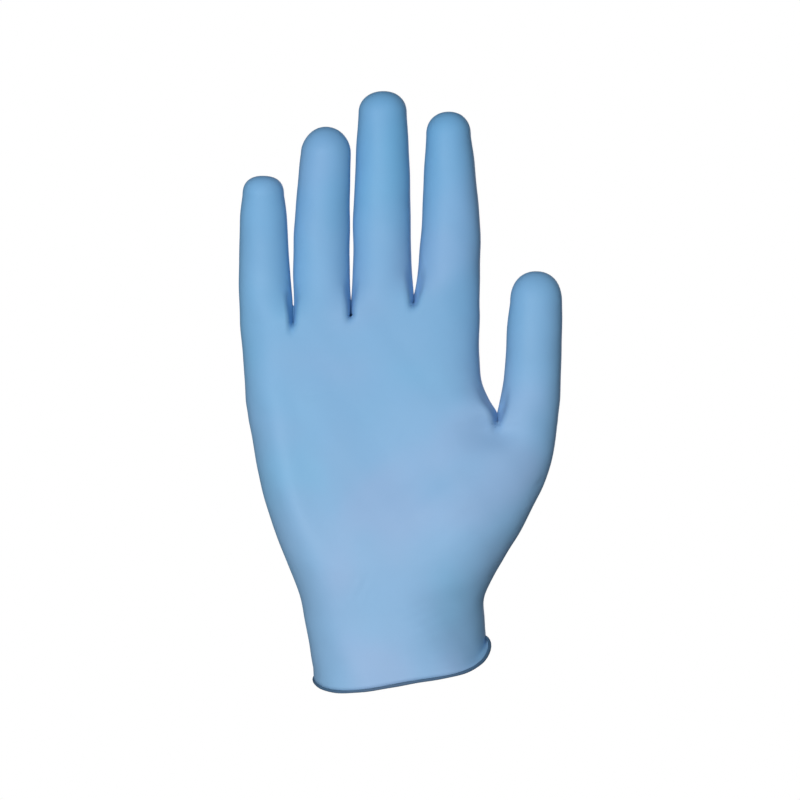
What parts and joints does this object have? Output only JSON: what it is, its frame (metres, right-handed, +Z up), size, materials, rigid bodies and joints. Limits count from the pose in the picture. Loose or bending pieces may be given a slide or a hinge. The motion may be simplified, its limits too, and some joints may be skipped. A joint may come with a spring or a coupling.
{
  "type": "nitrile exam glove",
  "caption": "Thin light-blue nitrile exam glove for a right hand, filled out as worn: palm, fingers and thumb in one dipped film with a rolled bead round the cuff.",
  "frame": {"origin": "middle of the wrist opening, inside the beaded rim of the cuff", "axes": "+Z up the fingers, +X across the palm from the little finger to the thumb, +Y from the palm side to the back of the hand"},
  "size_m": [0.1292, 0.0422, 0.2396],
  "materials": {
    "nitrile": "satin light-blue nitrile film"
  },
  "bodies": {
    "root": {"glove": "nitrile"}
  },
  "joints": []
}
